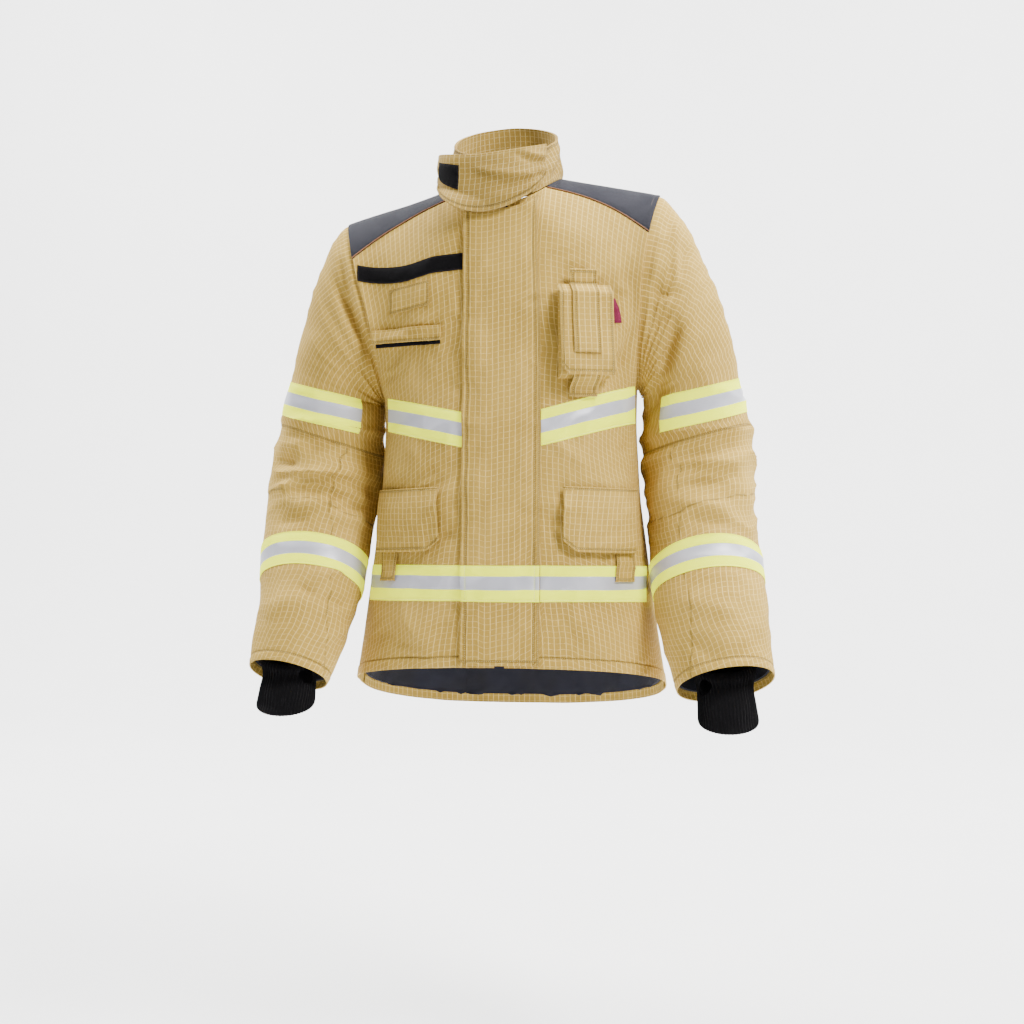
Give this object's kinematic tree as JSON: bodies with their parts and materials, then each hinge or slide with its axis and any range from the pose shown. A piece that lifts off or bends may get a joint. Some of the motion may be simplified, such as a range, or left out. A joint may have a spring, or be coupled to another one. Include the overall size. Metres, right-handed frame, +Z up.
{
  "type": "turnout coat",
  "caption": "Firefighter's turnout coat: ripstop shell with dark yokes, reflective tape, storm flap over a zip, wrap-over collar, flapped pockets and knitted wristlets.",
  "frame": {"origin": "top of the hanging loop, at the back of the neck", "axes": "+Z up along the coat, -Y out of the coat's front, +X towards the wearer's left"},
  "size_m": [0.7564, 0.3425, 0.8964],
  "materials": {
    "barrier": "coated cloth",
    "hook": "hook and loop",
    "knit": "ribbed knit",
    "label": "woven",
    "lining": "quilted, matte",
    "metal": "satin",
    "shell": "matte ripstop weave",
    "tape": "retroreflective",
    "yoke": "matte weave"
  },
  "bodies": {
    "body": {"back_panel": "shell", "badge_strip": "hook", "cargo_mouth_left": "hook", "cargo_mouth_right": "hook", "chest_pocket_zip": "hook", "collar_lining": "shell", "collar_stand": "shell", "flap_fastener_loop": "hook", "front_panel_left": "shell", "front_panel_right": "shell", "hang_loop": "hook", "hem_facing": "shell", "mic_loop": "shell", "moisture_barrier": "barrier", "radio_pocket": "shell", "side_label": "label", "thermal_liner": "lining", "trim_chest_back": "tape", "trim_chest_left": "tape", "trim_chest_right": "tape", "trim_upper_sleeve_left": "tape", "trim_upper_sleeve_right": "tape", "trim_waist_back": "tape", "trim_waist_left": "tape", "trim_waist_right": "tape", "upper_sleeve_left": "shell", "upper_sleeve_lining_left": "lining", "upper_sleeve_lining_right": "lining", "upper_sleeve_right": "shell", "yoke_left": "yoke", "yoke_right": "yoke", "zip_chain_left": "metal", "zip_chain_right": "metal", "zip_tape_left": "hook", "zip_tape_right": "hook"},
    "storm_flap": {"storm_flap": "shell", "trim_waist_flap": "tape"},
    "collar_flap": {"collar_flap": "shell", "collar_patch": "hook"},
    "chest_flap": {"chest_flap": "shell"},
    "cargo_flap_right": {"cargo_flap_right": "shell", "cargo_tab_right": "shell"},
    "cargo_flap_left": {"cargo_flap_left": "shell", "cargo_tab_left": "shell"},
    "radio_flap": {"radio_flap": "shell", "radio_strap": "shell", "radio_tab": "shell"},
    "zip_slider": {"zip_slider": "metal"},
    "zip_pull": {"zip_pull": "metal"},
    "forearm_right": {"lower_sleeve_right": "shell", "lower_sleeve_lining_right": "lining", "trim_lower_sleeve_right": "tape", "wristlet_right": "knit"},
    "forearm_left": {"lower_sleeve_left": "shell", "lower_sleeve_lining_left": "lining", "trim_lower_sleeve_left": "tape", "wristlet_left": "knit"}
  },
  "joints": [
    {"name": "storm_flap_hinge", "type": "hinge", "parent": "body", "child": "storm_flap", "pos_m": [0.0553, -0.2337, -0.4], "axis": [0, 0.0659, 0.9978], "range_deg": [0, 100]},
    {"name": "collar_flap_hinge", "type": "hinge", "parent": "body", "child": "collar_flap", "pos_m": [0.06113, -0.18481, -0.01084], "axis": [0, 0, 1], "range_deg": [0, 100]},
    {"name": "chest_flap_hinge", "type": "hinge", "parent": "body", "child": "chest_flap", "pos_m": [-0.13968, -0.19997, -0.25278], "axis": [-0.9198, 0.3879, -0.0595], "range_deg": [0, 100]},
    {"name": "cargo_flap_right_hinge", "type": "hinge", "parent": "body", "child": "cargo_flap_right", "pos_m": [-0.14716, -0.20771, -0.48257], "axis": [-0.795, 0.6052, -0.0418], "range_deg": [0, 100]},
    {"name": "cargo_flap_left_hinge", "type": "hinge", "parent": "body", "child": "cargo_flap_left", "pos_m": [0.14715, -0.20771, -0.48105], "axis": [-0.7952, -0.6053, 0.0346], "range_deg": [0, 100]},
    {"name": "radio_flap_hinge", "type": "hinge", "parent": "body", "child": "radio_flap", "pos_m": [0.12683, -0.23468, -0.19922], "axis": [-0.9215, -0.3885, 0], "range_deg": [0, 100]},
    {"name": "zip_slide", "type": "slide", "parent": "body", "child": "zip_slider", "axis": [0, -0.0659, -0.9978], "range_m": [0, 0.55]},
    {"name": "zip_pull_swivel", "type": "hinge", "parent": "zip_slider", "child": "zip_pull", "pos_m": [0, -0.21516, -0.117], "axis": [0, -0.9978, 0.0659], "range_deg": [-25, 25]},
    {"name": "elbow_right", "type": "hinge", "parent": "body", "child": "forearm_right", "pos_m": [-0.30069, -0.15624, -0.40322], "axis": [-0.9397, 0.342, 0], "range_deg": [0, 45]},
    {"name": "elbow_left", "type": "hinge", "parent": "body", "child": "forearm_left", "pos_m": [0.30032, -0.15329, -0.40396], "axis": [-0.9397, -0.342, 0], "range_deg": [0, 45]}
  ]
}
